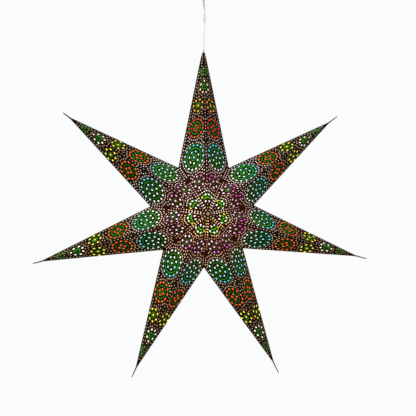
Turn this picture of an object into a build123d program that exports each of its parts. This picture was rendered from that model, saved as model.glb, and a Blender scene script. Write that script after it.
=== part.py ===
from build123d import *
import math
import os

# A hung paper star lantern: seven folded card arms, tissue liners, a lamp and a ceiling fitting.
# Millimetres and degrees. The origin is on the ceiling, above the star. +Z is up, -Y is the front.

# Star
apex_radius = 286.0  # star centre to the point where an arm's straight edges would meet
half_depth = 68.7  # star centre to its front and back poles
card = 0.4
flap_width = 10.0  # glue flap along each seam
glue_film = 0.05
tissue = 0.15
tissue_tip_gap = 10.5  # from the end of the tissue to a pinched tip
tissue_mouth_gap = 3.5  # from the end of the tissue to the open tip
seam_gap = 0.3  # tissue edge to glue flap

# Arms and the notches after them, clockwise from the top. Folded by hand and sagging a little
# towards the floor, they are uneven.
arm_turns = (0.0, 53.6, 104.8, 154.6, 204.1, 254.2, 305.9)
notch_turns = (28.1, 78.7, 130.0, 180.1, 229.8, 279.4, 331.8)
notch_radii = (94.4, 89.9, 89.5, 90.3, 92.0, 93.4, 93.7)

# Pinched tips of the arms, clockwise from the top arm, whose tip is cut open instead
tip_root = 6.0  # distance below the apex where the card is pinched together
tip_reach = (0.0, 14.4, 16.4, 17.0, 12.3, 11.0, 10.2)  # length beyond the apex
mouth_clearance = 0.5  # round the flex, in the open tip

# Pierced dots of each facet's rosettes, ring by ring: distance from the pole along the fold,
# distance out from the fold and radius of the ring, then each ring's number of dots
rosette_rings = (
    (196.8, 16.4, 0.0),
    (156.0, 22.3, 5.3),
    (104.3, 28.5, 0.0),
    (104.3, 28.5, 10.7),
    (59.0, 17.8, 0.0),
)
dot_counts = (1, 4, 1, 7, 1)
first_dot_angle = 180.0  # from the direction of the tip
dot_radius = 2.0
dot_sides = 4

# Flex and hanging string
flex_diameter = 3.0
flex_free = 97.0  # from the open tip up to the ceiling fitting
string_diameter = 1.2
string_clearance = 0.3
string_drop = 7.0  # string holes below the open tip
knot_height = 62.0  # knot's middle above the open tip
knot_length = 18.0

# Bulb
bulb_diameter = 45.0
bulb_length = 76.0
bulb_drop = 4.0  # middle of the glass below the star centre
neck_diameter = 15.0
neck_length = 6.5
shoulder_angle = 50.0  # where the round glass turns into the neck
bulb_cap_diameter = 14.0
bulb_cap_length = 21.0
contact_diameter = 8.0
contact_height = 3.0

# Lampholder
socket_clearance = 0.3
socket_wall = 3.7
socket_floor = 4.0
skirt_clearance = 0.2
skirt_wall = 1.8
lip_height = 2.0
lip_clearance = 1.5
spigot_length = 6.0
spigot_clearance = 0.15
cap_wall = 1.6
cap_height = 14.0
cap_cone_height = 8.0
grip_diameter = 9.8
grip_clearance = 0.1
grip_length = 8.0
grip_flange_diameter = 14.0
grip_flange_height = 3.0
grip_taper_length = 12.0
grip_end_wall = 1.2
flex_clearance = 0.15

# Ceiling fitting
plate_diameter = 60.0
plate_height = 3.0
plate_clearance = 0.3
ceiling_hole_diameter = 4.5
ceiling_hole_spacing = 40.0
wire_hole_diameter = 10.0
wire_hole_offset = 18.0
wire_hole_angle = 45.0
cover_height = 24.0
cover_wall = 1.8
cover_edge_radius = 4.0
post_diameter = 7.0
post_spacing = 40.0
cover_screw_diameter = 3.0
cover_screw_clearance = 0.05
cover_screw_grip = 10.0  # length of a screw inside its post
cover_screw_head_diameter = 5.6
cover_screw_head_height = 2.0
bush_diameter = 8.0
bush_clearance = 0.1
bush_inner_length = 3.0
bush_flange_diameter = 11.0
bush_flange_height = 2.0
bush_drop = 12.0
terminal_length = 18.0
terminal_width = 12.0
terminal_height = 10.0

# Places that follow from the sizes
tip_level = -(cover_height + bush_drop + flex_free)
star_centre = Vector(0, 0, tip_level - apex_radius)
poles = [star_centre + Vector(0, side * half_depth, 0) for side in (-1, 1)]
block_size = 6 * apex_radius
flex_bore = flex_diameter + 2 * flex_clearance
bulb_middle = star_centre.Z - bulb_drop
socket_bottom = bulb_middle - bulb_diameter / 2 + bulb_length - bulb_cap_length
socket_top = socket_bottom + bulb_cap_length + socket_floor
skirt_top = socket_top + spigot_length
cap_top = skirt_top + cap_height + cap_cone_height
socket_bore = bulb_cap_diameter + 2 * socket_clearance
socket_diameter = socket_bore + 2 * socket_wall
skirt_bore = socket_diameter + 2 * skirt_clearance
skirt_diameter = skirt_bore + 2 * skirt_wall
cover_bore = plate_diameter + 2 * plate_clearance
cover_diameter = cover_bore + 2 * cover_wall
post_places = [(0, side * post_spacing / 2) for side in (-1, 1)]
screw_hole_diameter = cover_screw_diameter + 2 * cover_screw_clearance

os.makedirs("parts", exist_ok=True)


def write(piece, name):
    piece.part.label = name
    export_step(piece.part, f"parts/{name}.step")


def rim_point(turn, radius):
    """A point of the star's middle plane, turned clockwise from the top."""
    angle = math.radians(turn)
    return star_centre + Vector(radius * math.sin(angle), 0, radius * math.cos(angle))


def facet_plane(pole, apex, edge_point):
    """A facet's outer face: the origin is at the pole, x runs along the fold, z points outwards."""
    normal = (apex - pole).cross(edge_point - pole)
    if normal.dot(pole - star_centre) < 0:
        normal = normal * -1
    return Plane(origin=pole, x_dir=apex - pole, z_dir=normal)


def seam_plane(notch, apex):
    """The plane where two arms meet: x runs out to the notch, z points away from this arm."""
    normal = (poles[1] - poles[0]).cross(notch - star_centre)
    if normal.dot(apex - star_centre) > 0:
        normal = normal * -1
    return Plane(origin=star_centre, x_dir=notch - star_centre, z_dir=normal)


def wedge(planes):
    """The space behind every one of a set of planes."""
    with BuildPart() as space:
        with Locations(star_centre):
            Box(block_size, block_size, block_size)
        for plane in planes:
            split(bisect_by=plane, keep=Keep.BOTTOM)
    return space.part


def set_back(planes, depth):
    return [plane.offset(-depth) for plane in planes]


# Slope of the top arm's sides, which sets how far its open tip is cut below its apex for the flex
notch_points = [rim_point(turn, radius) for turn, radius in zip(notch_turns, notch_radii)]
top_notches = (notch_points[0], notch_points[-1])
edge_slope = min(abs(notch.X) / (tip_level - notch.Z) for notch in top_notches)
fold_slope = half_depth / apex_radius
side_slope = edge_slope * fold_slope / math.hypot(edge_slope, fold_slope)
mouth_cut = (flex_diameter / 2 + mouth_clearance + card) / side_slope

# Where the string crosses the open tip, in front of the flex
string_y = -(flex_diameter / 2 + string_clearance + string_diameter / 2)
string_z = tip_level - string_drop
string_hole_diameter = string_diameter + 2 * string_clearance
with BuildPart() as string_bore:
    with BuildSketch(Plane.YZ):
        with Locations((string_y, string_z)):
            Circle(string_hole_diameter / 2)
    extrude(amount=half_depth, both=True)


# Arms and their tissue
for index, turn in enumerate(arm_turns):
    is_open = index == 0
    apex = rim_point(turn, apex_radius + mouth_cut if is_open else apex_radius)
    outward = (apex - star_centre).normalized()
    notches = [notch_points[index - 1], notch_points[index]]
    facets = [facet_plane(pole, apex, notch) for pole in poles for notch in notches]
    sides = [math.copysign(1, facet.to_local_coords(notch).Y) for facet, notch in zip(facets, notches * 2)]
    seams = [seam_plane(notch, apex) for notch in notches]
    tip_cut = mouth_cut if is_open else tip_root
    tip_plane = Plane(origin=apex - outward * tip_cut, z_dir=outward)

    outside = wedge(facets + seams + [tip_plane])
    hollow = wedge(set_back(facets + seams, card))
    if not is_open:
        root_face = outside.faces().sort_by(Axis(star_centre, outward))[-1]
        tip_end = Vertex(*(apex + outward * tip_reach[index]))

    with BuildPart() as arm:
        add(outside)
        if not is_open:
            loft([root_face, tip_end], ruled=True)
        add(hollow, mode=Mode.SUBTRACT)
        # Each seam wall is opened, which leaves a glue flap along its two outer edges
        for seam, notch in zip(seams, notches):
            notch_radius = (notch - star_centre).length
            seam_length = math.hypot(notch_radius, half_depth)
            opening_reach = notch_radius - flap_width * seam_length / half_depth
            opening_half = half_depth - flap_width * seam_length / notch_radius
            with BuildSketch(seam):
                with BuildLine():
                    Polyline(
                        (-card, -opening_half),
                        (0, -opening_half),
                        (opening_reach, 0),
                        (0, opening_half),
                        (-card, opening_half),
                        close=True,
                    )
                make_face()
            extrude(amount=-2 * card, mode=Mode.SUBTRACT)
        for facet, side in zip(facets, sides):
            with BuildSketch(facet):
                for (along, out, ring_radius), dot_count in zip(rosette_rings, dot_counts):
                    with Locations((along, side * out)):
                        with PolarLocations(ring_radius, dot_count, first_dot_angle):
                            RegularPolygon(dot_radius, dot_sides)
            extrude(amount=-2 * card, mode=Mode.SUBTRACT)
        if is_open:
            add(string_bore.part, mode=Mode.SUBTRACT)
    write(arm, f"arm_{index + 1}")

    tissue_cut = tip_cut + (tissue_mouth_gap if is_open else tissue_tip_gap)
    tissue_end = Plane(origin=apex - outward * tissue_cut, z_dir=outward)
    tissue_front = set_back(facets, card + glue_film)
    tissue_back = set_back(facets, card + glue_film + tissue)
    sheet_outside = wedge(tissue_front + set_back(seams, card + seam_gap) + [tissue_end])
    sheet_hollow = wedge(tissue_back + set_back(seams, -card))

    with BuildPart() as liner:
        add(sheet_outside)
        add(sheet_hollow, mode=Mode.SUBTRACT)
        if is_open:
            add(string_bore.part, mode=Mode.SUBTRACT)
    write(liner, f"tissue_{index + 1}")


# Bulb, cap upwards
glass_radius = bulb_diameter / 2
neck_level = socket_bottom - neck_length
bulb_top = socket_bottom + bulb_cap_length
shoulder = math.radians(shoulder_angle)
with BuildPart() as bulb:
    with BuildSketch(Plane.XZ):
        with BuildLine():
            glass = ThreePointArc(
                (0, bulb_middle - glass_radius),
                (glass_radius, bulb_middle),
                (glass_radius * math.cos(shoulder), bulb_middle + glass_radius * math.sin(shoulder)),
            )
            Polyline(
                glass @ 1,
                (neck_diameter / 2, neck_level),
                (neck_diameter / 2, socket_bottom),
                (bulb_cap_diameter / 2, socket_bottom),
                (bulb_cap_diameter / 2, bulb_top - contact_height),
                (contact_diameter / 2, bulb_top),
                (0, bulb_top),
                glass @ 0,
            )
        make_face()
    revolve(axis=Axis.Z)
write(bulb, "bulb")

# Lampholder
with BuildPart() as lampholder_insert:
    with BuildSketch(Plane.XY.offset(socket_bottom)):
        Circle(socket_diameter / 2)
    extrude(amount=socket_top - socket_bottom)
    with BuildSketch(Plane.XY.offset(socket_bottom)):
        Circle(socket_bore / 2)
    extrude(amount=bulb_cap_length, mode=Mode.SUBTRACT)
write(lampholder_insert, "lampholder_insert")

lip_bore = neck_diameter + 2 * lip_clearance
with BuildPart() as lampholder_skirt:
    with BuildSketch(Plane.XY.offset(socket_bottom - lip_height)):
        Circle(skirt_diameter / 2)
        Circle(lip_bore / 2, mode=Mode.SUBTRACT)
    extrude(amount=lip_height)
    with BuildSketch(Plane.XY.offset(socket_bottom)):
        Circle(skirt_diameter / 2)
        Circle(skirt_bore / 2, mode=Mode.SUBTRACT)
    extrude(amount=skirt_top - socket_bottom)
write(lampholder_skirt, "lampholder_skirt")

spigot_radius = skirt_bore / 2 - spigot_clearance
shell_radius = skirt_diameter / 2
cone_level = skirt_top + cap_height
cap_top_radius = grip_flange_diameter / 2
with BuildPart() as lampholder_cap:
    with BuildSketch(Plane.XZ):
        with BuildLine():
            Polyline(
                (grip_diameter / 2 + grip_clearance, cap_top),
                (cap_top_radius, cap_top),
                (shell_radius, cone_level),
                (shell_radius, skirt_top),
                (spigot_radius, skirt_top),
                (spigot_radius, socket_top),
                (spigot_radius - cap_wall, socket_top),
                (spigot_radius - cap_wall, cone_level - cap_wall),
                (grip_diameter / 2 + grip_clearance, cap_top - cap_wall),
                close=True,
            )
        make_face()
    revolve(axis=Axis.Z)
write(lampholder_cap, "lampholder_cap")

grip_top = cap_top + grip_flange_height + grip_taper_length
grip_end_radius = flex_bore / 2 + grip_end_wall
with BuildPart() as cord_grip:
    with BuildSketch(Plane.XZ):
        with BuildLine():
            Polyline(
                (flex_bore / 2, cap_top - grip_length),
                (grip_diameter / 2, cap_top - grip_length),
                (grip_diameter / 2, cap_top),
                (grip_flange_diameter / 2, cap_top),
                (grip_flange_diameter / 2, cap_top + grip_flange_height),
                (grip_diameter / 2, cap_top + grip_flange_height),
                (grip_end_radius, grip_top),
                (flex_bore / 2, grip_top),
                close=True,
            )
        make_face()
    revolve(axis=Axis.Z)
write(cord_grip, "cord_grip")

# Flex, straight from the socket to the terminals
flex_top = -(plate_height + terminal_height)
with BuildPart() as flex:
    with BuildSketch(Plane.XY.offset(socket_top)):
        Circle(flex_diameter / 2)
    extrude(amount=flex_top - socket_top)
write(flex, "flex")

# String: across the open tip, up both sides of the flex and wound round it in a knot
string_level = mouth_cut + string_drop
card_half_width = edge_slope * (string_level + string_y / fold_slope)
riser_x = card_half_width + string_diameter / 2 + string_clearance
knot_radius = flex_diameter / 2 + string_clearance + string_diameter
knot_bottom = tip_level + knot_height - knot_length / 2
riser_top_x = knot_radius - string_diameter / 2
with BuildPart() as hanging_string:
    with BuildLine() as string_path:
        Polyline(
            (-riser_top_x, 0, knot_bottom + string_diameter),
            (-riser_x, string_y, string_z),
            (riser_x, string_y, string_z),
            (riser_top_x, 0, knot_bottom + string_diameter),
        )
    with BuildSketch(Plane(origin=string_path.line @ 0, z_dir=string_path.line % 0)):
        Circle(string_diameter / 2)
    sweep(transition=Transition.RIGHT)
    with BuildSketch(Plane.XY.offset(knot_bottom)):
        Circle(knot_radius)
        Circle(flex_diameter / 2 + string_clearance / 2, mode=Mode.SUBTRACT)
    extrude(amount=knot_length)
write(hanging_string, "hanging_string")

# Ceiling fitting
cover_floor_level = -cover_height + cover_wall
with BuildPart() as rose_plate:
    with BuildSketch(Plane.XY):
        Circle(plate_diameter / 2)
        with GridLocations(ceiling_hole_spacing, 0, 2, 1):
            Circle(ceiling_hole_diameter / 2, mode=Mode.SUBTRACT)
        with PolarLocations(wire_hole_offset, 1, wire_hole_angle):
            Circle(wire_hole_diameter / 2, mode=Mode.SUBTRACT)
    extrude(amount=-plate_height)
    with BuildSketch(Plane.XY.offset(-plate_height)):
        with Locations(post_places):
            Circle(post_diameter / 2)
    extrude(amount=cover_floor_level + plate_height)
    with BuildSketch(Plane.XY.offset(cover_floor_level)):
        with Locations(post_places):
            Circle(screw_hole_diameter / 2)
    extrude(amount=cover_screw_grip, mode=Mode.SUBTRACT)
write(rose_plate, "rose_plate")

with BuildPart() as rose_cover:
    with BuildSketch(Plane.XY):
        Circle(cover_diameter / 2)
    extrude(amount=-cover_height)
    fillet(rose_cover.edges().sort_by(Axis.Z)[0], cover_edge_radius)
    with BuildSketch(Plane.XY):
        Circle(cover_bore / 2)
    extrude(amount=cover_floor_level, mode=Mode.SUBTRACT)
    with BuildSketch(Plane.XY.offset(-cover_height)):
        Circle(bush_diameter / 2 + bush_clearance)
        with Locations(post_places):
            Circle(screw_hole_diameter / 2)
    extrude(amount=cover_wall, mode=Mode.SUBTRACT)
write(rose_cover, "rose_cover")

bush_end_level = -cover_height - bush_drop
with BuildPart() as rose_bush:
    with BuildSketch(Plane.XZ):
        with BuildLine():
            Polyline(
                (flex_bore / 2, cover_floor_level + bush_inner_length),
                (bush_diameter / 2, cover_floor_level + bush_inner_length),
                (bush_diameter / 2, -cover_height),
                (bush_flange_diameter / 2, -cover_height),
                (bush_flange_diameter / 2, -cover_height - bush_flange_height),
                (bush_diameter / 2, -cover_height - bush_flange_height),
                (grip_end_radius, bush_end_level),
                (flex_bore / 2, bush_end_level),
                close=True,
            )
        make_face()
    revolve(axis=Axis.Z)
write(rose_bush, "rose_bush")

with BuildPart() as terminal_block:
    with BuildSketch(Plane.XY.offset(-plate_height)):
        Rectangle(terminal_length, terminal_width)
    extrude(amount=-terminal_height)
write(terminal_block, "terminal_block")

with BuildPart() as cover_screws:
    with BuildSketch(Plane.XY.offset(-cover_height)):
        with Locations(post_places):
            Circle(cover_screw_diameter / 2)
    extrude(amount=cover_wall + cover_screw_grip)
    with BuildSketch(Plane.XY.offset(-cover_height)):
        with Locations(post_places):
            Circle(cover_screw_head_diameter / 2)
    extrude(amount=-cover_screw_head_height)
write(cover_screws, "cover_screws")
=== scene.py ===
import math
import random

import bmesh
import bpy
import numpy as np
from mathutils import Matrix, Vector
from mathutils.geometry import delaunay_2d_cdt


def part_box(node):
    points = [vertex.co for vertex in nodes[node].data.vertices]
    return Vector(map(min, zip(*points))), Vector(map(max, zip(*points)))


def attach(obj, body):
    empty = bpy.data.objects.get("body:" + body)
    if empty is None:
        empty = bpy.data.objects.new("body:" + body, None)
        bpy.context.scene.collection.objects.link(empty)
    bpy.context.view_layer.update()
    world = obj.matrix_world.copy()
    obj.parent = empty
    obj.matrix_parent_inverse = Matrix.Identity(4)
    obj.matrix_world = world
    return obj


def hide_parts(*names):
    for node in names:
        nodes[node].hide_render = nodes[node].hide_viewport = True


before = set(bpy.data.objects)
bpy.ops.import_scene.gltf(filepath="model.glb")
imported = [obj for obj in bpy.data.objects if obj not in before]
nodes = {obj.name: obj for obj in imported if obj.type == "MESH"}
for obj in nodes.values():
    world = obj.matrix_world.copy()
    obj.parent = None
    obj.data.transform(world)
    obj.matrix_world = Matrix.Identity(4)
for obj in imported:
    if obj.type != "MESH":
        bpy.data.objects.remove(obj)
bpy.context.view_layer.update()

# A lit paper star lantern, dressed over its solids. Metres, in the solids' own frame: the origin
# is on the ceiling, +Z is up and -Y is the front.

MM = 0.001

# Sizes shared with the solids
ARM_COUNT = 7
CARD = 0.4 * MM
FLAP_WIDTH = 10 * MM
GLUE_FILM = 0.05 * MM
TISSUE = 0.15 * MM
TISSUE_TIP_GAP = 10.5 * MM
TISSUE_MOUTH_GAP = 3.5 * MM
TIP_ROOT = 6 * MM
STRING_DIAMETER = 1.2 * MM
STRING_CLEARANCE = 0.3 * MM
STRING_DROP = 7 * MM
KNOT_HEIGHT = 62 * MM
KNOT_LENGTH = 18 * MM

# Sizes of the dressed pieces alone
LINER_SEAM_GAP = 0.05 * MM  # from the card at a seam to the edge of the tissue
TIP_BLUNTNESS = 0.6  # width of a pinched tip's end, as a share of its root
STRAND_GAP = 0.04 * MM  # between the string's two strands
KNOT_LEAN = 1.6 * MM  # how far to the right the knot holds the flex
KNOT_THREAD = 0.34 * MM
KNOT_TURNS = 58
KNOT_STEPS = 12  # points in a turn
KNOT_SWELL = 0.05 * MM  # unevenness of the turns
KNOT_SWELL_WAVES = 5 / 7  # waves of it in a turn
CORD_BEVEL = 5
CORD_RESOLUTION = 8
KNOT_RESOLUTION = 2

# Places read from the solids
arm_low, arm_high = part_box("arm_1")
STAR = Vector((0, 0, arm_low.z))
TIP_LEVEL = arm_high.z
HALF_DEPTH = arm_high.y
APEX_RADIUS = TIP_LEVEL - STAR.z
POLES = [STAR + Vector((0, side * HALF_DEPTH, 0)) for side in (-1, 1)]
flex_low, flex_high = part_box("flex")
FLEX_DIAMETER = flex_high.x - flex_low.x
STRING_Y = -(FLEX_DIAMETER / 2 + STRING_CLEARANCE + STRING_DIAMETER / 2)
KNOT_BOTTOM = TIP_LEVEL + KNOT_HEIGHT - KNOT_LENGTH / 2

# The pierced pattern of a facet, in millimetres and degrees. A place is (along, out): along the
# fold from the pole, and out from the fold.
MAIN_DOT = 1.88
SMALL_DOT = 1.27
MAIN_SIDES = 10
SMALL_SIDES = 7
BAND_SIDES = 26
DASH_STEPS = 4
FOLD_TOLERANCE = 1e-6  # a dot this near the fold lies on it


class Rosette:
    """Rings of dots with green between them, over one field of the tissue.

    dot is the radius of a dot. A ring of dots is (radius, count, first angle), a green band is
    (inner radius, outer radius) and a ring of green dashes is (radius, width, count, first angle,
    share of the pitch).
    """

    def __init__(self, zone, place, dot, dots, bands, dashes):
        self.zone = zone
        self.place = place
        self.dot = dot
        self.dots = dots
        self.bands = bands
        self.dashes = dashes
        self.reach = max(radius for radius, _, _ in dots) + dot


BLUE_PLACE = (104.3, 28.5)
ROSETTES = (
    Rosette(
        zone="cream",
        place=(227.2, 0.0),
        dot=2.0,
        dots=((10.6, 7, 0),),
        bands=((0.0, 1.4), (4.1, 6.1)),
        dashes=((10.6, 1.3, 7, 25.7, 0.36),),
    ),
    Rosette(
        zone="yellow",
        place=(196.8, 16.4),
        dot=2.0,
        dots=((0.0, 1, 0), (10.6, 7, 180)),
        bands=((3.9, 5.4),),
        dashes=((10.6, 1.2, 7, 205.7, 0.3),),
    ),
    Rosette(
        zone="red",
        place=(156.0, 22.3),
        dot=1.98,
        dots=((5.3, 4, 0), (16.2, 12, 15)),
        bands=((0.0, 1.6),),
        dashes=((5.3, 1.8, 4, 45, 0.34), (10.6, 2.2, 12, 15, 0.6), (16.2, 1.8, 12, 0, 0.38)),
    ),
    Rosette(
        zone="blue",
        place=BLUE_PLACE,
        dot=1.82,
        dots=((0.0, 1, 0), (10.7, 7, 180), (21.5, 15, 0)),
        bands=((4.5, 6.5), (15.2, 17.4)),
        dashes=((10.7, 1.6, 7, 205.7, 0.4), (21.5, 2.0, 15, 12, 0.38)),
    ),
    Rosette(
        zone="pink",
        place=(59.0, 17.8),
        dot=1.95,
        dots=((0.0, 1, 0), (10.5, 7, 180)),
        bands=((4.5, 5.6),),
        dashes=((10.5, 1.0, 7, 205.7, 0.3),),
    ),
)
FIELD_MARGIN = 1.2  # from a rosette's reach to the edge of its field of the tissue
FIELD_SIDES = 32
GREEN_PATCH = (256.7, 0.0)
PATCH_REACH = 10.2
PATCH_CORE = 1.6
PATCH_DASHES = ((4.4, 1.7, 7, 26, 0.5), (8.7, 2.0, 13, 14, 0.5))  # rings, as in a rosette
PATCH_DOTS = (6.6, 8, 22.5)
PATCH_DOT = 1.06
HALO_RADII = (24.8, 26.4)  # fine dashed rings outside the blue rosette's outer dots
HALO_WIDTH = 0.5
HALO_DASHES = 60
HALO_SHARE = 0.5
HALO_STEPS = 1
REST_SPOTS = [((126.0, 0.0), 3.4), ((68.2, 43.5), 4.2)]  # bare places and their radii

# The motif round a pole: green arcs (inner radius, outer radius, reach from the fold), dots
# (radius, angle from the fold) and short slots that meet across the seams
POLE_ARCS = ((33.0, 34.5, 18.0), (27.2, 29.1, 17.0))
ARC_STEPS = 6
POLE_DOTS = ((33.8, 7.4), (22.6, 11.4))
POLE_DOT_MARGIN = 0.6  # from a pole dot to the edge of its field of the tissue
POLE_FOLD_DOTS = (10.6, 16.2)  # distances of small dots on the fold
POLE_FOLD_DOT = 0.95
ARC_END_DOT = (32.4, 21.6)  # yellow on one side of the fold, white on the other
SLOT_COUNT = 6
SLOT_FIRST = 7.8  # from the pole, along the seam
SLOT_PITCH = 5.6
SLOT_EDGE = 0.15  # from the seam to a slot
SLOT_WIDTH = 2.1
SLOT_LENGTHS = (1.3, 3.2)  # of the first slot and at most
SLOT_GROWTH = 0.24  # of a slot's length with its distance from the first
POLE_OPENING = 2.6  # small opening where the arms' corners meet
POLE_REACH = 36.5
POLE_FIELD = 42.0  # radius of the tissue's field round the pole
POLE_FIELD_STEPS = 8

# Rows of small dots along the fold, inside the free edge and beside the seam
FOLD_ROW = (44.0, 214.0)
FOLD_SPACING = 5.8
EDGE_ROW_GAP = 3.7
EDGE_ROW_START = 0.7  # from the notch, as a share of the spacing
EDGE_SPACING = 5.4
SEAM_ROW_START = 41.0
SEAM_ROW_GAP = 2.4
SEAM_SPACING = 5.0
TIP_ROW_START = 269.0  # beyond it a facet is so narrow that one row of dots fills it
TIP_ROW_SPACING = 5.0
TIP_ROW_SHARE = 0.48  # of the facet's width

# Small dots that fill the ground between the motifs, in rings round them
MOTIFS = [(rosette.place, rosette.reach) for rosette in ROSETTES]
MOTIFS += [(GREEN_PATCH, PATCH_REACH), ((0.0, 0.0), POLE_REACH)]
FILL_FIRST = 3.3  # from a motif's reach to its first ring
FILL_PITCH = 4.8  # from ring to ring
FILL_SPACING = 4.8  # along a ring
FILL_NEAREST = 4.2
FILL_RINGS = 13
FILL_JITTER = 0.28  # more in each further ring
FILL_MOST_JITTER = 0.7
FILL_SEED = 5
MOTIF_MARGIN = 1.4  # from a motif's reach to the middle of a small dot
EDGE_MARGIN = 2.7  # from the free edge
FOLD_MARGIN = 2.1  # from the fold or the seam
TIP_MARGIN = 5.5


# Camera, worked out from the photograph's arm tips and notches
PHOTO_SIZE = 416
FOCAL_PIXELS = 500
SENSOR = 36.0
CAMERA_TURNS = (0.1071, -0.0468, -0.0021)  # radians: swing, tilt and roll
CAMERA_OFFSET = (-0.0256, 3.0305, -0.0442)  # the star's centre as the camera sees it, in apex radii


def make_camera():
    swing, tilt, roll = CAMERA_TURNS
    turn = Matrix.Rotation(roll, 3, "Y") @ Matrix.Rotation(tilt, 3, "X") @ Matrix.Rotation(swing, 3, "Z")
    right, forward, up = turn
    place = STAR - turn.transposed() @ Vector(CAMERA_OFFSET) * APEX_RADIUS
    data = bpy.data.cameras.new("camera")
    data.sensor_width = SENSOR
    data.lens = SENSOR * FOCAL_PIXELS / PHOTO_SIZE
    camera = bpy.data.objects.new("camera", data)
    camera.matrix_world = Matrix.LocRotScale(place, Matrix((right, up, -forward)).transposed(), None)
    bpy.context.scene.collection.objects.link(camera)
    bpy.context.scene.camera = camera


# Materials


def srgb(red, green, blue):
    """Linear colour with alpha from 8-bit values."""
    linear = []
    for value in (red, green, blue):
        share = value / 255
        linear.append(share / 12.92 if share <= 0.04045 else ((share + 0.055) / 1.055) ** 2.4)
    return (*linear, 1.0)


class Shader:
    """A material's node tree, with short calls for the nodes that recur."""

    noise_roughness = 0.55

    def __init__(self, name):
        self.material = bpy.data.materials.new(name)
        self.material.use_nodes = True
        self.tree = self.material.node_tree
        self.surface = self.tree.nodes["Principled BSDF"]
        self.place = self.node("ShaderNodeTexCoord").outputs["Object"]

    def node(self, kind, **settings):
        made = self.tree.nodes.new(kind)
        for key, value in settings.items():
            setattr(made, key, value)
        return made

    def link(self, source, target):
        self.tree.links.new(source, target)

    def set(self, **values):
        for key, value in values.items():
            self.surface.inputs[key.replace("_", " ")].default_value = value

    def noise(self, scale, detail=4.0, stretch=None):
        place = self.place
        if stretch:
            mapping = self.node("ShaderNodeMapping")
            mapping.inputs["Scale"].default_value = stretch
            self.link(self.place, mapping.inputs["Vector"])
            place = mapping.outputs["Vector"]
        made = self.node("ShaderNodeTexNoise")
        made.inputs["Scale"].default_value = scale
        made.inputs["Detail"].default_value = detail
        made.inputs["Roughness"].default_value = self.noise_roughness
        self.link(place, made.inputs["Vector"])
        return made.outputs["Fac"]

    def distance(self, point):
        made = self.node("ShaderNodeVectorMath", operation="DISTANCE")
        self.link(self.place, made.inputs[0])
        made.inputs[1].default_value = point
        return made.outputs["Value"]

    def spread(self):
        """Distance from the line through the two poles."""
        made = self.node("ShaderNodeVectorMath", operation="MULTIPLY")
        self.link(self.place, made.inputs[0])
        made.inputs[1].default_value = (1, 0, 1)
        span = self.node("ShaderNodeVectorMath", operation="DISTANCE")
        self.link(made.outputs["Vector"], span.inputs[0])
        span.inputs[1].default_value = STAR
        return span.outputs["Value"]

    def height(self):
        made = self.node("ShaderNodeSeparateXYZ")
        self.link(self.place, made.inputs["Vector"])
        return made.outputs["Z"]

    def ramp(self, source, *stops):
        """A colour ramp of (position, colour) stops."""
        made = self.node("ShaderNodeValToRGB")
        elements = made.color_ramp.elements
        while len(elements) < len(stops):
            elements.new(0.5)
        for element, (position, colour) in zip(elements, stops):
            element.position = position
            element.color = colour
        self.link(source, made.inputs["Fac"])
        return made.outputs["Color"]

    def between(self, source, low, high, start=0.3, end=0.7):
        """A number from low to high as the source goes from start to end."""
        made = self.node("ShaderNodeMapRange")
        made.inputs["From Min"].default_value = start
        made.inputs["From Max"].default_value = end
        made.inputs["To Min"].default_value = low
        made.inputs["To Max"].default_value = high
        self.link(source, made.inputs["Value"])
        return made.outputs["Result"]

    def share(self, source, span):
        """How far the source has gone along a span (start, end), from 0 to 1."""
        return self.between(source, 0.0, 1.0, *span)

    def mix(self, factor, first, second, blend="MIX"):
        made = self.node("ShaderNodeMix", data_type="RGBA", blend_type=blend)
        for name, value in (("Factor", factor), ("A", first), ("B", second)):
            socket = next(item for item in made.inputs if item.name == name and item.enabled)
            if isinstance(value, bpy.types.NodeSocket):
                self.link(value, socket)
            else:
                socket.default_value = value
        return next(item for item in made.outputs if item.enabled)

    def times(self, first, second):
        return self.mix(1.0, first, second, "MULTIPLY")

    def bump(self, height, distance, strength):
        made = self.node("ShaderNodeBump")
        made.inputs["Distance"].default_value = distance
        made.inputs["Strength"].default_value = strength
        self.link(height, made.inputs["Height"])
        self.link(made.outputs["Normal"], self.surface.inputs["Normal"])

    def colour(self, source):
        self.link(source, self.surface.inputs["Base Color"])

    def rough(self, source):
        self.link(source, self.surface.inputs["Roughness"])

    def emit(self, source, strength):
        self.link(source, self.surface.inputs["Emission Color"])
        self.set(Emission_Strength=strength)


BLACK = srgb(0, 0, 0)
WHITE = srgb(255, 255, 255)

# The lamp's light. It is strongest a little left of the star's centre.
GLOW = STAR + Vector((-4, 0, 0)) * MM
DYE_GLOW = 1.4
GROUND_GLOW = 0.9
POLE_GLOW = 1.9
INK_GLOW = 0.9
CARD_GLOW = srgb(46, 13, 5)

# Spans over which a tint, painted light or painted shade comes in or goes: distances from the line
# through the poles, distances from the glow, and levels
CARD_GLOW_SPAN = (55 * MM, 95 * MM)
INK_GLOW_SPAN = (26 * MM, 52 * MM)
ROSY_SPAN = (50 * MM, 90 * MM)
FAINT_SPAN = (95 * MM, 170 * MM)
WARM_LEVELS = (STAR.z - 60 * MM, STAR.z + 40 * MM)
POLE_LEVELS = (STAR.z - 8 * MM, STAR.z + 8 * MM)
TOP_LEVELS = (STAR.z + 118 * MM, STAR.z + 142 * MM)


def paper_grain(shader):
    """Long fibres over a fine tooth, as height."""
    fibres = shader.noise(260, detail=5.0, stretch=(1.0, 1.0, 4.0))
    tooth = shader.noise(1900, detail=3.0)
    return shader.mix(0.45, fibres, tooth)


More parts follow.
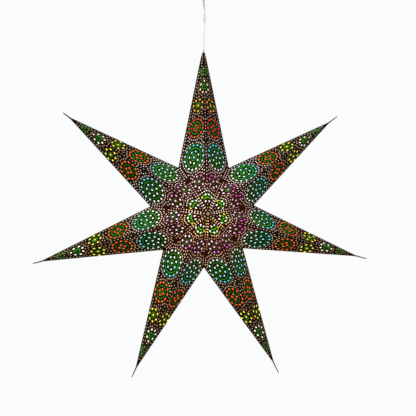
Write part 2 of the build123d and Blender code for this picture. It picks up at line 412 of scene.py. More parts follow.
def card_material():
    """Dark brown card. Close to the lamp it is lit through."""
    shader = Shader("pierced_card")
    mottle = shader.ramp(
        shader.noise(38, detail=5.0),
        (0.3, srgb(22, 12, 4)),
        (0.55, srgb(28, 16, 7)),
        (0.8, srgb(37, 22, 11)),
    )
    shader.colour(mottle)
    shader.rough(shader.between(shader.noise(420), 0.7, 0.88))
    shader.bump(paper_grain(shader), distance=0.12 * MM, strength=0.5)
    shader.emit(shader.mix(shader.share(shader.spread(), CARD_GLOW_SPAN), CARD_GLOW, BLACK), 1.0)
    shader.set(Specular_IOR_Level=0.03)
    return shader.material


def green_ink():
    """Bright green ink. Close to the lamp the light comes through it."""
    shader = Shader("green_ink")
    mottle = shader.ramp(
        shader.noise(260),
        (0.32, srgb(12, 88, 6)),
        (0.52, srgb(28, 142, 12)),
        (0.72, srgb(52, 176, 26)),
    )
    shader.colour(mottle)
    lit = shader.ramp(
        shader.share(shader.spread(), INK_GLOW_SPAN),
        (0.0, srgb(30, 170, 0)),
        (0.3, srgb(90, 190, 0)),
        (0.75, srgb(24, 40, 0)),
        (1.0, BLACK),
    )
    shader.emit(lit, INK_GLOW)
    shader.set(Specular_IOR_Level=0.12)
    shader.rough(shader.between(shader.noise(520), 0.4, 0.6))
    shader.bump(paper_grain(shader), distance=0.08 * MM, strength=0.4)
    return shader.material


def halo_ink():
    """Pale grey-brown ink."""
    shader = Shader("halo_ink")
    shader.colour(shader.ramp(shader.noise(300), (0.3, srgb(112, 92, 84)), (0.7, srgb(150, 132, 122))))
    shader.rough(shader.between(shader.noise(520), 0.45, 0.6))
    shader.bump(paper_grain(shader), distance=0.08 * MM, strength=0.4)
    return shader.material


def clouded(shader, dye_and_light, faintest):
    """A colour of dye and painted light, with soft clouds in it."""
    return shader.times(dye_and_light, shader.between(shader.noise(210, detail=3.0), faintest, 1.0))


def lit_tissue(shader, dye_and_light, lit, strength, shade):
    """Light through the tissue, its dye and painted light darkened by shade, and its grain."""
    shader.emit(lit, strength)
    shader.colour(shader.mix(shade, dye_and_light, BLACK))
    shader.set(Specular_IOR_Level=0.1)
    shader.rough(shader.between(shader.noise(600), 0.75, 0.95))
    shader.bump(paper_grain(shader), distance=0.06 * MM, strength=0.4)
    return shader.material


def dyed_material(zone, near, far, wash, top_shade):
    """Dyed tissue. Near the lamp painted light washes its colour out, and high up painted shade makes it
    darker and deeper.
    """
    shader = Shader("tissue_" + zone)
    start, end = wash
    # painted light: the colour washes out towards the lamp's glow
    dye_and_light = shader.mix(shader.share(shader.distance(GLOW), (start * MM, end * MM)), near, far)
    # painted shade: a darker, deeper colour high up in the star
    if top_shade:
        dye_and_light = shader.mix(shader.share(shader.height(), TOP_LEVELS), dye_and_light, top_shade)
    return lit_tissue(shader, dye_and_light, clouded(shader, dye_and_light, 0.78), DYE_GLOW, shade=0.75)


def ground_material():
    """Undyed tissue behind the small dots: patches of white, cream, tan and pink, under painted light that
    is warmer low in the star and fainter far from the lamp.
    """
    shader = Shader("tissue_ground")
    patches = shader.ramp(
        shader.noise(230, detail=1.0),
        (0.32, srgb(168, 144, 126)),
        (0.44, srgb(244, 226, 204)),
        (0.56, srgb(255, 252, 246)),
        (0.7, srgb(244, 212, 216)),
    )
    # painted light: a warmer colour low in the star
    warm = shader.times(patches, srgb(255, 240, 212))
    dye_and_light = shader.mix(shader.share(shader.height(), WARM_LEVELS), warm, patches)
    rosy = shader.times(dye_and_light, srgb(250, 226, 222))
    dye_and_light = shader.mix(shader.share(shader.spread(), ROSY_SPAN), rosy, dye_and_light)
    # painted light: fainter and browner far from the lamp's glow
    faint = shader.times(dye_and_light, srgb(204, 186, 180))
    dye_and_light = shader.mix(shader.share(shader.distance(GLOW), FAINT_SPAN), dye_and_light, faint)
    lit = shader.times(dye_and_light, srgb(255, 247, 240))
    return lit_tissue(shader, dye_and_light, lit, GROUND_GLOW, shade=0.25)


def pole_material():
    """Undyed tissue round a pole, under painted light that makes the lower half the warmer one."""
    shader = Shader("tissue_pole")
    # painted light: warmer below the star's centre than above it
    level = shader.share(shader.height(), POLE_LEVELS)
    dye_and_light = shader.mix(level, srgb(250, 220, 146), srgb(240, 228, 202))
    return lit_tissue(shader, dye_and_light, clouded(shader, dye_and_light, 0.8), POLE_GLOW, shade=0.75)


# A dye's colours near the lamp, where painted light washes them out, and far from it, the span of
# millimetres from the glow between the two, and its painted shade at the top of the star
DYES = {
    "cream": (srgb(255, 250, 226), srgb(250, 236, 204), (150, 250), srgb(255, 208, 176)),
    "yellow": (srgb(255, 228, 70), srgb(248, 218, 66), (150, 230), srgb(252, 160, 64)),
    "red": (srgb(255, 98, 48), srgb(255, 76, 38), (130, 190), srgb(255, 46, 54)),
    "blue": (WHITE, srgb(84, 220, 240), (86, 120), srgb(64, 208, 242)),
    "pink": (srgb(255, 236, 248), srgb(250, 42, 214), (60, 80), None),
    "white": (WHITE, srgb(255, 252, 236), (60, 90), None),
}
ZONES = {"ground": ground_material()}
for dye_zone, dye_colours in DYES.items():
    ZONES[dye_zone] = dyed_material(dye_zone, *dye_colours)
ZONES["pole"] = pole_material()
ZONE_SLOTS = {zone: slot for slot, zone in enumerate(ZONES)}


def plastic_material(name, dark, light, scale, roughness, bump):
    """Moulded plastic or glaze, mottled between two close colours."""
    shader = Shader(name)
    shader.colour(shader.ramp(shader.noise(scale), (0.3, dark), (0.7, light)))
    shader.rough(shader.between(shader.noise(scale * 4), roughness - 0.06, roughness + 0.06))
    shader.bump(shader.noise(2600, detail=2.0), distance=0.03 * MM, strength=bump)
    return shader.material


def cotton_material():
    """White cotton with a visible twist."""
    shader = Shader("cotton_string")
    wave = shader.node("ShaderNodeTexWave", bands_direction="DIAGONAL", wave_profile="SIN")
    wave.inputs["Scale"].default_value = 420
    wave.inputs["Distortion"].default_value = 1.5
    shader.link(shader.place, wave.inputs["Vector"])
    twist = wave.outputs["Fac"]
    shader.colour(shader.ramp(twist, (0.1, srgb(247, 247, 236)), (0.7, srgb(254, 254, 247))))
    shader.rough(shader.between(shader.noise(900), 0.8, 0.95))
    shader.bump(twist, distance=0.15 * MM, strength=0.7)
    shader.set(Sheen_Weight=0.4)
    return shader.material


def glass_material():
    """Opal glass, lit from inside."""
    shader = Shader("opal_glass")
    cloud = shader.between(shader.noise(60), 0.9, 1.0)
    shader.emit(shader.times(srgb(255, 238, 205), cloud), 1.0)
    shader.set(Coat_Weight=0.5)
    shader.colour(shader.ramp(shader.noise(40), (0.3, srgb(240, 236, 226)), (0.7, srgb(250, 248, 242))))
    shader.rough(shader.between(shader.noise(300), 0.12, 0.22))
    return shader.material


def steel_material():
    """Zinc-plated steel with fine brush marks."""
    shader = Shader("zinc_steel")
    shader.colour(shader.ramp(shader.noise(300), (0.3, srgb(170, 172, 174)), (0.7, srgb(205, 206, 208))))
    shader.rough(shader.between(shader.noise(900, stretch=(1, 6, 1)), 0.24, 0.42))
    shader.bump(shader.noise(1800), distance=0.03 * MM, strength=0.3)
    shader.set(Metallic=1.0)
    return shader.material


CARD_MATERIALS = [card_material(), green_ink(), halo_ink()]
CARD_SLOTS = {"paper": 0, "green": 1, "halo": 2}
COTTON = cotton_material()
FLEX = plastic_material("flex_sheath", srgb(240, 237, 212), srgb(248, 245, 226), 60, 0.42, 0.25)
ROSE = plastic_material("rose_plastic", srgb(222, 220, 213), srgb(232, 230, 224), 25, 0.34, 0.2)
HOLDER = plastic_material("lampholder_plastic", srgb(232, 231, 226), srgb(244, 243, 239), 30, 0.36, 0.2)
CERAMIC = plastic_material("socket_ceramic", srgb(226, 222, 212), srgb(240, 237, 229), 45, 0.3, 0.3)
TERMINAL = plastic_material("terminal_plastic", srgb(206, 208, 206), srgb(224, 226, 224), 70, 0.45, 0.3)

# Materials of the solids that keep their shape
DRESSED = {
    "bulb": glass_material(),
    "lampholder_insert": CERAMIC,
    "lampholder_skirt": HOLDER,
    "lampholder_cap": HOLDER,
    "cord_grip": HOLDER,
    "rose_plate": ROSE,
    "rose_cover": ROSE,
    "rose_bush": ROSE,
    "terminal_block": TERMINAL,
    "cover_screws": steel_material(),
}


def dress(node, material):
    """A new material for a solid that keeps its shape."""
    data = nodes[node].data
    data.materials.clear()
    data.materials.append(material)


# Meshes


def add_piece(name, data, materials):
    """A new piece on the one body, with its materials."""
    piece = bpy.data.objects.new(name, data)
    bpy.context.scene.collection.objects.link(piece)
    for material in materials:
        data.materials.append(material)
    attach(piece, "root")
    return piece


class Sheet:
    """Faces of one folded sheet of paper, gathered facet by facet and then welded."""

    weld = 4e-6  # points this near each other, in metres, become one

    def __init__(self):
        self.points = []
        self.faces = []
        self.slots = []

    def add(self, points, faces, slots):
        start = len(self.points)
        self.points.extend(points)
        self.faces.extend([[start + corner for corner in face] for face in faces])
        self.slots.extend(slots)

    def face(self, *points):
        self.add(points, [range(len(points))], [0])

    def mesh(self, name):
        data = bpy.data.meshes.new(name)
        data.from_pydata(self.points, [], self.faces)
        data.polygons.foreach_set("material_index", self.slots)
        work = bmesh.new()
        work.from_mesh(data)
        bmesh.ops.remove_doubles(work, verts=work.verts, dist=self.weld)
        bmesh.ops.recalc_face_normals(work, faces=work.faces)
        work.to_mesh(data)
        work.free()
        return data


def set_in(normals, depths):
    """The shortest step that lies a given depth behind each of a set of faces."""
    step, *_ = np.linalg.lstsq(np.array(normals), -np.array(depths), rcond=None)
    return Vector(step)


class Facet:
    """One flat face of an arm. Its own places are in millimetres: along the fold, out from it."""

    near = 1e-3  # a place this near a line lies on it

    def __init__(self, pole, apex, notch, outward):
        self.pole = pole
        self.length = (apex - pole).length / MM
        self.along = (apex - pole).normalized()
        reach = notch - pole
        self.out = (reach - self.along * reach.dot(self.along)).normalized()
        self.normal = self.along.cross(self.out)
        if self.normal.dot(pole - STAR) < 0:
            self.normal = -self.normal
        self.apex = Vector((self.length, 0))
        self.notch = self.flat(notch)
        self.edge = (self.notch - self.apex).normalized()
        self.from_edge = Vector((-self.edge.y, self.edge.x))
        self.seam = self.notch.normalized()
        self.from_seam = Vector((self.seam.y, -self.seam.x))
        self.apex_reach = (apex - STAR).dot(outward)
        self.notch_reach = (notch - STAR).dot(outward)

    def flat(self, point):
        step = (point - self.pole) / MM
        return Vector((step.dot(self.along), step.dot(self.out)))

    def solid(self, place):
        return self.pole + (self.along * place[0] + self.out * place[1]) * MM

    def outline(self, cut):
        """Pole, end of the fold, end of the edge and notch, with the tip cut off below the apex."""
        fold_end = self.apex * (1 - cut / self.apex_reach)
        edge_end = self.apex.lerp(self.notch, cut / (self.apex_reach - self.notch_reach))
        return [Vector((0, 0)), fold_end, edge_end, self.notch]

    def edge_gap(self, place):
        """Distance inside the arm's free edge."""
        step = Vector(place) - self.apex
        return self.edge.x * step.y - self.edge.y * step.x

    def seam_gap(self, place):
        """Distance inside the seam between the pole and the notch."""
        return self.seam.y * place[0] - self.seam.x * place[1]


def circle(centre, radius, sides, half=False):
    """Corners of a round outline, or of its half on the outer side of the fold."""
    if half:
        angles = [math.pi * index / sides for index in range(sides + 1)]
    else:
        angles = [2 * math.pi * index / sides for index in range(sides)]
    corners = [spoke(centre, radius, angle) for angle in angles]
    return [Vector((corner.x, max(0.0, corner.y))) for corner in corners]


def sector(centre, inner, outer, start, end, steps):
    """Corners of a part of a flat ring, between two angles."""
    angles = [start + (end - start) * index / steps for index in range(steps + 1)]
    outside = [(outer, angle) for angle in angles]
    inside = [(inner, angle) for angle in reversed(angles)]
    return [spoke(centre, radius, angle) for radius, angle in outside + inside]


def spoke(centre, radius, angle):
    """The place at a radius and an angle from a centre."""
    return Vector((centre[0] + radius * math.cos(angle), centre[1] + radius * math.sin(angle)))


def polar(radius, degrees, centre=(0.0, 0.0)):
    return spoke(centre, radius, math.radians(degrees))


def main_dots():
    """Places and radii of the large dots on one side of the fold and of those on the fold itself."""
    dots = [(polar(*dot), MAIN_DOT) for dot in (*POLE_DOTS, ARC_END_DOT)]
    for rosette in ROSETTES:
        for radius, count, first in rosette.dots:
            for index in range(count):
                dot = polar(radius, first + 360 * index / count, rosette.place)
                if abs(dot.y) < FOLD_TOLERANCE or dot.y > rosette.dot:
                    dots.append((dot, rosette.dot))
    return dots


def patch_dots():
    """Places of the green patch's dots on one side of the fold."""
    radius, count, first = PATCH_DOTS
    return [polar(radius, first + 360 * index / count, GREEN_PATCH) for index in range(count // 2)]


def pole_slots(facet):
    """Corners of the short oval slots beside a seam, near the pole."""
    oval = [polar(0.5, -360 * index / MAIN_SIDES) for index in range(MAIN_SIDES)]
    shortest, longest = SLOT_LENGTHS
    slots = []
    for index in range(SLOT_COUNT):
        step = SLOT_PITCH * index
        length = min(longest, shortest + SLOT_GROWTH * step)
        middle = facet.seam * (SLOT_FIRST + step) + facet.from_seam * (SLOT_EDGE + length / 2)
        corners = [facet.seam * (SLOT_WIDTH * turn.x) + facet.from_seam * (length * turn.y) for turn in oval]
        slots.append([middle + corner for corner in corners])
    return slots


def fold_row():
    """A row of dots on the fold."""
    first, last = FOLD_ROW
    count = int((last - first) / FOLD_SPACING) + 1
    return [Vector((first + FOLD_SPACING * index, 0)) for index in range(count)]


def tip_row(facet):
    """One row of dots up the narrow end of a facet."""
    dots = []
    for index in range(int((facet.length - TIP_ROW_START) / TIP_ROW_SPACING)):
        along = TIP_ROW_START + TIP_ROW_SPACING * index
        width = (along - facet.length) * facet.edge.y / facet.edge.x
        dots.append(Vector((along, TIP_ROW_SHARE * width)))
    return dots


def edge_row(facet):
    """A row of dots inside the free edge, from the notch to where the tip row starts."""
    length = (facet.notch - facet.apex).length
    dots = []
    for index in range(int(length / EDGE_SPACING)):
        reach = length - EDGE_SPACING * (index + EDGE_ROW_START)
        dots.append(facet.apex + facet.edge * reach + facet.from_edge * EDGE_ROW_GAP)
    return [dot for dot in dots if dot.x < TIP_ROW_START - TIP_ROW_SPACING]


def seam_row(facet):
    """A row of dots beside the seam, from the pole's motif to the notch."""
    dots = []
    for index in range(int((facet.notch.length - SEAM_ROW_START) / SEAM_SPACING)):
        reach = SEAM_ROW_START + SEAM_SPACING * index
        dots.append(facet.seam * reach + facet.from_seam * SEAM_ROW_GAP)
    return dots


def ring_dots():
    """Places for small dots in rings round the motifs, less even further out."""
    draw = random.Random(FILL_SEED)
    dots = []
    for step in range(FILL_RINGS):
        jitter = min(FILL_MOST_JITTER, FILL_JITTER * step)
        for centre, reach in MOTIFS:
            radius = reach + FILL_FIRST + FILL_PITCH * step
            count = int(2 * math.pi * radius / FILL_SPACING)
            for index in range(count):
                shift = Vector((draw.uniform(-jitter, jitter), draw.uniform(-jitter, jitter)))
                dots.append(polar(radius, 360 * (index + 0.5) / count, centre) + shift)
    return dots


RING_DOTS = ring_dots()


def fill_dots(facet, tip_cut, taken):
    """Small dots wherever the card is still free: rows first, then rings round the motifs."""
    bare = MOTIFS + REST_SPOTS
    bare_places = np.array([place for place, _ in bare])
    bare_reach = np.array([reach + MOTIF_MARGIN for _, reach in bare])
    end = facet.outline(tip_cut)[1].x - TIP_MARGIN
    rows = fold_row() + tip_row(facet) + edge_row(facet) + seam_row(facet)
    kept = [tuple(dot) for dot in taken]
    count = len(kept)
    for dot in rows + RING_DOTS:
        on_fold = dot.y == 0
        if dot.x > end or (dot.y < FOLD_MARGIN and not on_fold):
            continue
        if facet.edge_gap(dot) < EDGE_MARGIN or facet.seam_gap(dot) < FOLD_MARGIN:
            continue
        place = np.array(dot)
        if (np.hypot(*(bare_places - place).T) < bare_reach).any():
            continue
        if np.hypot(*(np.array(kept) - place).T).min() < FILL_NEAREST:
            continue
        kept.append(tuple(dot))
    return [Vector(dot) for dot in kept[count:]]


class Drawing:
    """Outlines drawn on a facet, each with its kind, for one flat triangulation."""

    inside_only = 1  # the triangulation's kind of output
    tolerance = 1e-5

    def __init__(self, outline):
        self.points = []
        self.faces = []
        self.kinds = []
        self.add(outline, "paper")

    def add(self, corners, kind):
        start = len(self.points)
        self.points.extend(corners)
        self.faces.append(list(range(start, start + len(corners))))
        self.kinds.append(kind)

    def band(self, centre, inner, outer, kind, sides=BAND_SIDES):
        """A flat ring, or a whole disc if the inner radius is zero."""
        half = centre[1] == 0
        self.add(circle(centre, outer, sides, half), kind)
        if inner > 0:
            self.add(circle(centre, inner, sides, half), "paper")

    def dashes(self, centre, radius, width, count, first, share, kind, steps=DASH_STEPS):
        """A ring of dashes, those of them that lie on this side of the fold."""
        pitch = 2 * math.pi / count
        for index in range(count):
            middle = math.radians(first) + pitch * index
            start, end = middle - pitch * share / 2, middle + pitch * share / 2
            corners = sector(centre, radius - width / 2, radius + width / 2, start, end, steps)
            if min(corner.y for corner in corners) > 0:
                self.add(corners, kind)

    def triangles(self):
        """Flat points, triangles and the kind of the last outline drawn round each triangle."""
        made = delaunay_2d_cdt(self.points, [], self.faces, self.inside_only, self.tolerance, True)
        points, _, faces, _, _, sources = made
        kinds = [self.kinds[max(source)] if source else "hole" for source in sources]
        return points, faces, kinds


def draw_inks(drawing):
    """The green print and the fine halo rings."""
    for rosette in ROSETTES:
        for inner, outer in reversed(rosette.bands):
            drawing.band(rosette.place, inner, outer, "green")
        for ring in rosette.dashes:
            drawing.dashes(rosette.place, *ring, "green")
    for radius in HALO_RADII:
        drawing.dashes(BLUE_PLACE, radius, HALO_WIDTH, HALO_DASHES, 0, HALO_SHARE, "halo", HALO_STEPS)
    drawing.band(GREEN_PATCH, 0, PATCH_CORE, "green")
    for ring in PATCH_DASHES:
        drawing.dashes(GREEN_PATCH, *ring, "green")
    for inner, outer, reach in POLE_ARCS:
        drawing.add(sector((0, 0), inner, outer, 0, math.radians(reach), ARC_STEPS), "green")


def draw_holes(drawing, facet, tip_cut):
    large = main_dots()
    slots = pole_slots(facet)
    slot_middles = [sum(slot, Vector((0, 0))) / len(slot) for slot in slots]
    opening = [Vector((0, 0)), Vector((POLE_OPENING, 0)), facet.seam * POLE_OPENING]
    for corners in (opening, *slots):
        drawing.add(corners, "hole")
    for dot, radius in large:
        drawing.add(circle(dot, radius, MAIN_SIDES, dot.y < FOLD_TOLERANCE), "hole")
    for along in POLE_FOLD_DOTS:
        drawing.add(circle((along, 0), POLE_FOLD_DOT, SMALL_SIDES, True), "hole")
    for dot in patch_dots():
        drawing.add(circle(dot, PATCH_DOT, SMALL_SIDES), "hole")
    for dot in fill_dots(facet, tip_cut, [dot for dot, _ in large] + slot_middles):
        drawing.add(circle(dot, SMALL_DOT, SMALL_SIDES, dot.y == 0), "hole")


def draw_fields(drawing, facet, side):
    """The tissue's fields of colour, on the ground that the rest of it makes."""
    seam_angle = math.degrees(math.atan2(facet.notch.y, facet.notch.x))
    arc = [polar(POLE_FIELD, seam_angle * step / POLE_FIELD_STEPS) for step in range(POLE_FIELD_STEPS + 1)]
    drawing.add([Vector((0, 0))] + arc, "pole")
    for rosette in ROSETTES:
        drawing.band(rosette.place, 0, rosette.reach + FIELD_MARGIN, rosette.zone, FIELD_SIDES)
    dot_field = MAIN_DOT + POLE_DOT_MARGIN
    drawing.add(circle(polar(*ARC_END_DOT), dot_field, MAIN_SIDES), "white" if side else "yellow")
    for dot in POLE_DOTS:
        drawing.add(circle(polar(*dot), dot_field, MAIN_SIDES), "white")


def boundary_edges(faces):
    """Edges that belong to one triangle only, in that triangle's direction."""
    edges = [edge for face in faces for edge in zip(face, face[1:] + face[:1])]
    known = set(edges)
    return [edge for edge in edges if edge[::-1] not in known]


class Arm:
    """The folds of one arm: four facets between two seams."""

    level = 2e-6  # points this near a plane, in metres, lie on it

    def __init__(self, index):
        self.index = index
        self.node = f"arm_{index + 1}"
        corners = [vertex.co.copy() for vertex in nodes[self.node].data.vertices]
        rim = [point for point in corners if abs(point.y) < self.level]
        if index:
            self.tip = max(rim, key=lambda point: (point - STAR).length)
            self.outward = (self.tip - STAR).normalized()
        else:
            self.tip = None
            self.outward = Vector((0, 0, 1))
        across = Vector((self.outward.z, 0, -self.outward.x))
        rim.sort(key=across.dot)
        self.notches = [rim[0], rim[-1]]
        if index:
            self.tip_cut = TIP_ROOT
            self.apex = STAR + self.outward * APEX_RADIUS
        else:
            self.tip_cut = self.mouth_cut(rim)
            self.apex = STAR + self.outward * (APEX_RADIUS + self.tip_cut)
        self.facets = {
            (end, side): Facet(POLES[end], self.apex, self.notches[side], self.outward)
            for end in (0, 1)
            for side in (0, 1)
        }
        self.seams = []
        for notch in self.notches:
            normal = Vector((0, 1, 0)).cross(notch - STAR).normalized()
            self.seams.append(normal if normal.dot(self.outward) < 0 else -normal)

    def mouth_cut(self, rim):
        """How far the open arm's mouth lies below the point where its edges would meet."""
        notch = self.notches[1]
        half_width = max(point.x for point in rim if TIP_LEVEL - point.z < self.level)
        return half_width * (TIP_LEVEL - notch.z) / (notch.x - half_width)

    def sunk(self, end, side, places, depth, seam_depth):
        """Places of a facet, moved inwards onto a layer at a given depth."""
        facet = self.facets[end, side]
        points = []
        for place in places:
            normals = [facet.normal]
            depths = [depth]
            on_fold = place.y < facet.near
            on_seam = facet.seam_gap(place) < facet.near
            if on_fold:
                normals.append(self.facets[end, 1 - side].normal)
                depths.append(depth)
            if facet.edge_gap(place) < facet.near:
                normals.append(self.facets[1 - end, side].normal)
                depths.append(depth)
            if on_seam:
                normals.append(self.seams[side])
                depths.append(seam_depth)
            if on_fold and on_seam:
                normals.append(self.seams[1 - side])
                depths.append(seam_depth)
            points.append(facet.solid(place) + set_in(normals, depths))
        return points

    def layer(self, sheet, end, side, drawing, front, back, slots, open_seam):
        """Adds one facet of a sheet: its two faces and the walls round its holes and open ends.

        front and back are the faces' depths behind the facet and behind the seam. A front of None
        is the facet itself.
        """
        facet = self.facets[end, side]
        places, faces, kinds = drawing.triangles()
        kept = [list(face) for face, kind in zip(faces, kinds) if kind != "hole"]
        tints = [slots[kind] for kind in kinds if kind != "hole"] * 2
        if front:
            outer = self.sunk(end, side, places, *front)
        else:
            outer = [facet.solid(place) for place in places]
        inner = self.sunk(end, side, places, *back)
        count = len(places)
        made = kept + [[count + corner for corner in face[::-1]] for face in kept]
        for first, second in boundary_edges(kept):
            middle = (places[first] + places[second]) / 2
            if middle.y < facet.near or facet.edge_gap(middle) < facet.near:
                continue
            if facet.seam_gap(middle) < facet.near and not open_seam:
                continue
            if self.closed_tip(facet, middle) and not open_seam:
                continue
            made.append([second, first, count + first, count + second])
            tints.append(0)
        sheet.add(outer + inner, made, tints)

    def closed_tip(self, facet, place):
        """True on the line where a pinched tip starts."""
        fold_end, edge_end = facet.outline(self.tip_cut)[1:3]
        run = (edge_end - fold_end).normalized()
        step = place - fold_end
        return self.index > 0 and abs(run.x * step.y - run.y * step.x) < facet.near

    def flaps(self, sheet):
        """Glue flaps along the seams, turned into the arm."""
        axis_step = set_in(self.seams, [CARD, CARD])
        for (end, side), facet in self.facets.items():
            notch_radius = (self.notches[side] - STAR).length
            seam_length = math.hypot(notch_radius, HALF_DEPTH)
            share = 1 - FLAP_WIDTH * seam_length / HALF_DEPTH / notch_radius
            corners = [Vector((0, 0)), facet.notch]
            pole, notch = [facet.solid(corner) for corner in corners]
            pole_in, notch_in = self.sunk(end, side, corners, CARD, CARD)
            low = STAR + (pole - STAR) * share
            far = STAR + (notch - STAR) * share
            low_in = low + axis_step
            far_in = far - self.seams[side] * CARD
            sheet.face(pole, notch, far, low)
            sheet.face(pole_in, notch_in, far_in, low_in)
            sheet.face(low, far, far_in, low_in)

    def needle(self, sheet):
        """The pinched tip with its blunt end, closed towards the hollow."""
        root = self.apex - self.outward * self.tip_cut
        blunt_ring = []
        inside = []
        for end, side in ((0, 0), (1, 0), (1, 1), (0, 1)):
            facet = self.facets[end, side]
            places = facet.outline(self.tip_cut)[1:3]
            if side == end:
                places = places[::-1]
            points = [facet.solid(place) for place in places]
            blunt = [self.tip + (point - root) * TIP_BLUNTNESS for point in points]
            sheet.face(points[0], points[1], blunt[1], blunt[0])
            blunt_ring.append(blunt[0])
            inside.extend(self.sunk(end, side, places[:1], CARD, CARD))
        sheet.face(*inside)
        sheet.face(*blunt_ring)


def draw_string_hole(drawing, arm, end, side):
    """The string's hole, in the open arm's front facets."""
    if arm.index or end:
        return
    facet = arm.facets[end, side]
    point = Vector((0, STRING_Y, TIP_LEVEL - STRING_DROP))
    run = facet.normal.dot(facet.pole - point) / facet.normal.x
    place = facet.flat(point + Vector((run, 0, 0)))
    drawing.add(circle(place, (STRING_DIAMETER / 2 + STRING_CLEARANCE) / MM, MAIN_SIDES), "hole")


def make_arm(arm):
    card = Sheet()
    for (end, side), facet in arm.facets.items():
        drawing = Drawing(facet.outline(arm.tip_cut))
        draw_inks(drawing)
        draw_holes(drawing, facet, arm.tip_cut)
        draw_string_hole(drawing, arm, end, side)
        arm.layer(card, end, side, drawing, None, (CARD, CARD), CARD_SLOTS, open_seam=False)
    arm.flaps(card)
    if arm.tip:
        arm.needle(card)
    name = "pierced_" + arm.node
    piece = add_piece(name, card.mesh(name), CARD_MATERIALS)
    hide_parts(arm.node)


def make_tissue(arm):
    liner = Sheet()
    front = CARD + GLUE_FILM
    back = front + TISSUE
    seam = CARD + LINER_SEAM_GAP
    slots = {**ZONE_SLOTS, "paper": ZONE_SLOTS["ground"]}
    gap = TISSUE_TIP_GAP if arm.index else TISSUE_MOUTH_GAP
    for (end, side), facet in arm.facets.items():
        drawing = Drawing(facet.outline(arm.tip_cut + gap))
        draw_fields(drawing, facet, side)
        draw_string_hole(drawing, arm, end, side)
        arm.layer(liner, end, side, drawing, (front, seam), (back, seam), slots, open_seam=True)
    node = f"tissue_{arm.index + 1}"
    name = "dyed_" + node
    piece = add_piece(name, liner.mesh(name), list(ZONES.values()))
    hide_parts(node)


def make_star():
    for index in range(ARM_COUNT):
        arm = Arm(index)
        make_arm(arm)
        make_tissue(arm)


# Cords


def cord_curve(name, points, diameter, resolution=CORD_RESOLUTION):
    data = bpy.data.curves.new(name, "CURVE")
    data.dimensions = "3D"
    data.bevel_depth = diameter / 2
    data.bevel_resolution = CORD_BEVEL
    data.resolution_u = resolution
    data.use_fill_caps = True
    spline = data.splines.new("NURBS")
    spline.points.add(len(points) - 1)
    for control, point in zip(spline.points, points):
        control.co = (*point, 1)
    spline.order_u = 3
    spline.use_endpoint_u = True
    return data


def make_flex():
    """The flex runs straight from the lampholder to the ceiling fitting, with a slight kink at the knot."""
    route = [
        (0, 0, flex_low.z),
        (0, 0, TIP_LEVEL - 30 * MM),
        (-0.2 * MM, 0, TIP_LEVEL + 24 * MM),
        (KNOT_LEAN, 0, KNOT_BOTTOM),
        (KNOT_LEAN, 0, KNOT_BOTTOM + KNOT_LENGTH),
        (0, 0, flex_high.z - 16 * MM),
        (0, 0, flex_high.z),
    ]
    piece = add_piece("lamp_flex", cord_curve("lamp_flex", route, FLEX_DIAMETER), [FLEX])
    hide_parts("flex")


def make_string():
    """The string crosses the open tip through two holes and rises in front of the flex to a wound knot."""
    _, string_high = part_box("hanging_string")
    hole_side = string_high.x - STRING_DIAMETER / 2
    hole = TIP_LEVEL - STRING_DROP
    strand = (STRING_DIAMETER + STRAND_GAP) / 2
    left = []
    right = []
    for middle, aside, level in (
        (KNOT_LEAN, strand, KNOT_BOTTOM + STRING_DIAMETER),
        (KNOT_LEAN * 0.6, strand, KNOT_BOTTOM - 10 * MM),
        (0, strand, TIP_LEVEL + 5 * MM),
        (0, 1.75 * MM, TIP_LEVEL + 0.5 * MM),
        (0, hole_side, hole + 2.5 * MM),
        (0, hole_side, hole),
    ):
        left.append((middle - aside, STRING_Y, level))
        right.append((middle + aside, STRING_Y, level))
    route = left + right[::-1]
    piece = add_piece("string_loop", cord_curve("string_loop", route, STRING_DIAMETER), [COTTON])
    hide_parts("hanging_string")
    knot = make_knot()


def make_knot():
    """Close turns of thread round the flex and the two strands in front of it."""
    front = STRING_Y - STRING_DIAMETER / 2
    back = FLEX_DIAMETER / 2
    width = (FLEX_DIAMETER + KNOT_THREAD) / 2
    depth = (back - front + KNOT_THREAD) / 2
    height = KNOT_LENGTH - 2 * STRING_DIAMETER
    steps = KNOT_TURNS * KNOT_STEPS
    points = []
    for index in range(steps + 1):
        share = index / steps
        angle = 2 * math.pi * KNOT_TURNS * share
        swell = KNOT_SWELL * math.sin(KNOT_SWELL_WAVES * angle)
        x = KNOT_LEAN + (width + swell) * math.cos(angle)
        y = (front + back) / 2 + (depth + swell) * math.sin(angle)
        points.append((x, y, KNOT_BOTTOM + STRING_DIAMETER + height * share))
    thread = cord_curve("string_knot", points, KNOT_THREAD, KNOT_RESOLUTION)
    return add_piece("string_knot", thread, [COTTON])


# Stage
FLOOR_RADIUS = 1.6
FLOOR_SIDES = 96
FLOOR_DROP = 1.3  # from the star's centre
FLOOR_FADE = (0.5, FLOOR_RADIUS)  # distances over which the floor fades into the backdrop
BACKDROP = srgb(250, 252, 251)
SOFT_LIGHT = srgb(255, 234, 210)
SOFT_STRENGTH = 0.23
LIGHT_WHITE = (1.0, 1.0, 1.0)
LIGHT_COOL = (0.9, 0.95, 1.0)

# Name, place from the star's centre, size, power in watts and colour
LIGHTS = (
    ("key", (-1.3, -1.8, 2.3), 2.0, 124, LIGHT_COOL),
    ("fill", (1.5, -1.5, -0.2), 1.4, 3, LIGHT_WHITE),
    ("back", (0.6, 1.8, 0.9), 1.2, 12, LIGHT_WHITE),
)


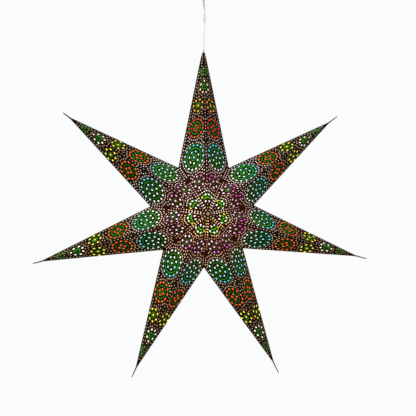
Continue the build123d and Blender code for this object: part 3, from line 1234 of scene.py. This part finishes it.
def make_floor():
    data = bpy.data.meshes.new("floor")
    work = bmesh.new()
    bmesh.ops.create_circle(work, cap_ends=True, segments=FLOOR_SIDES, radius=FLOOR_RADIUS)
    work.to_mesh(data)
    work.free()
    floor = bpy.data.objects.new("floor", data)
    floor.location = STAR - Vector((0, 0, FLOOR_DROP))
    bpy.context.scene.collection.objects.link(floor)
    shader = Shader("pale_floor")
    shader.colour(shader.ramp(shader.noise(6), (0.3, srgb(238, 239, 238)), (0.7, srgb(244, 245, 244))))
    shader.rough(shader.between(shader.noise(60), 0.75, 0.9))
    span = shader.node("ShaderNodeVectorMath", operation="LENGTH")
    shader.link(shader.place, span.inputs[0])
    fade = shader.between(span.outputs["Value"], 1.0, 0.0, *FLOOR_FADE)
    shader.link(fade, shader.surface.inputs["Alpha"])
    data.materials.append(shader.material)


def make_world():
    """Soft light all round, with a pale backdrop where it is seen directly, in gloss or through glass."""
    world = bpy.data.worlds.new("studio")
    bpy.context.scene.world = world
    world.use_nodes = True
    tree = world.node_tree
    soft = tree.nodes["Background"]
    soft.inputs["Color"].default_value = SOFT_LIGHT
    soft.inputs["Strength"].default_value = SOFT_STRENGTH
    seen = tree.nodes.new("ShaderNodeBackground")
    seen.inputs["Color"].default_value = BACKDROP
    seen.inputs["Strength"].default_value = 1.0
    rays = tree.nodes.new("ShaderNodeLightPath")
    total = rays.outputs["Is Camera Ray"]
    for name in ("Is Glossy Ray", "Is Transmission Ray"):
        more = tree.nodes.new("ShaderNodeMath")
        more.operation = "MAXIMUM"
        tree.links.new(total, more.inputs[0])
        tree.links.new(rays.outputs[name], more.inputs[1])
        total = more.outputs[0]
    mix = tree.nodes.new("ShaderNodeMixShader")
    tree.links.new(total, mix.inputs["Fac"])
    tree.links.new(soft.outputs[0], mix.inputs[1])
    tree.links.new(seen.outputs[0], mix.inputs[2])
    tree.links.new(mix.outputs[0], tree.nodes["World Output"].inputs["Surface"])


def make_light(name, place, size, power, colour):
    data = bpy.data.lights.new(name, "AREA")
    data.size = size
    data.energy = power
    data.color = colour
    light = bpy.data.objects.new(name, data)
    light.location = STAR + Vector(place)
    light.rotation_euler = (-Vector(place)).to_track_quat("-Z", "Y").to_euler()
    bpy.context.scene.collection.objects.link(light)


bpy.context.scene.view_settings.view_transform = "Standard"
make_camera()
make_flex()
make_string()
make_star()
for node, material in DRESSED.items():
    dress(node, material)
make_floor()
make_world()
for light in LIGHTS:
    make_light(*light)
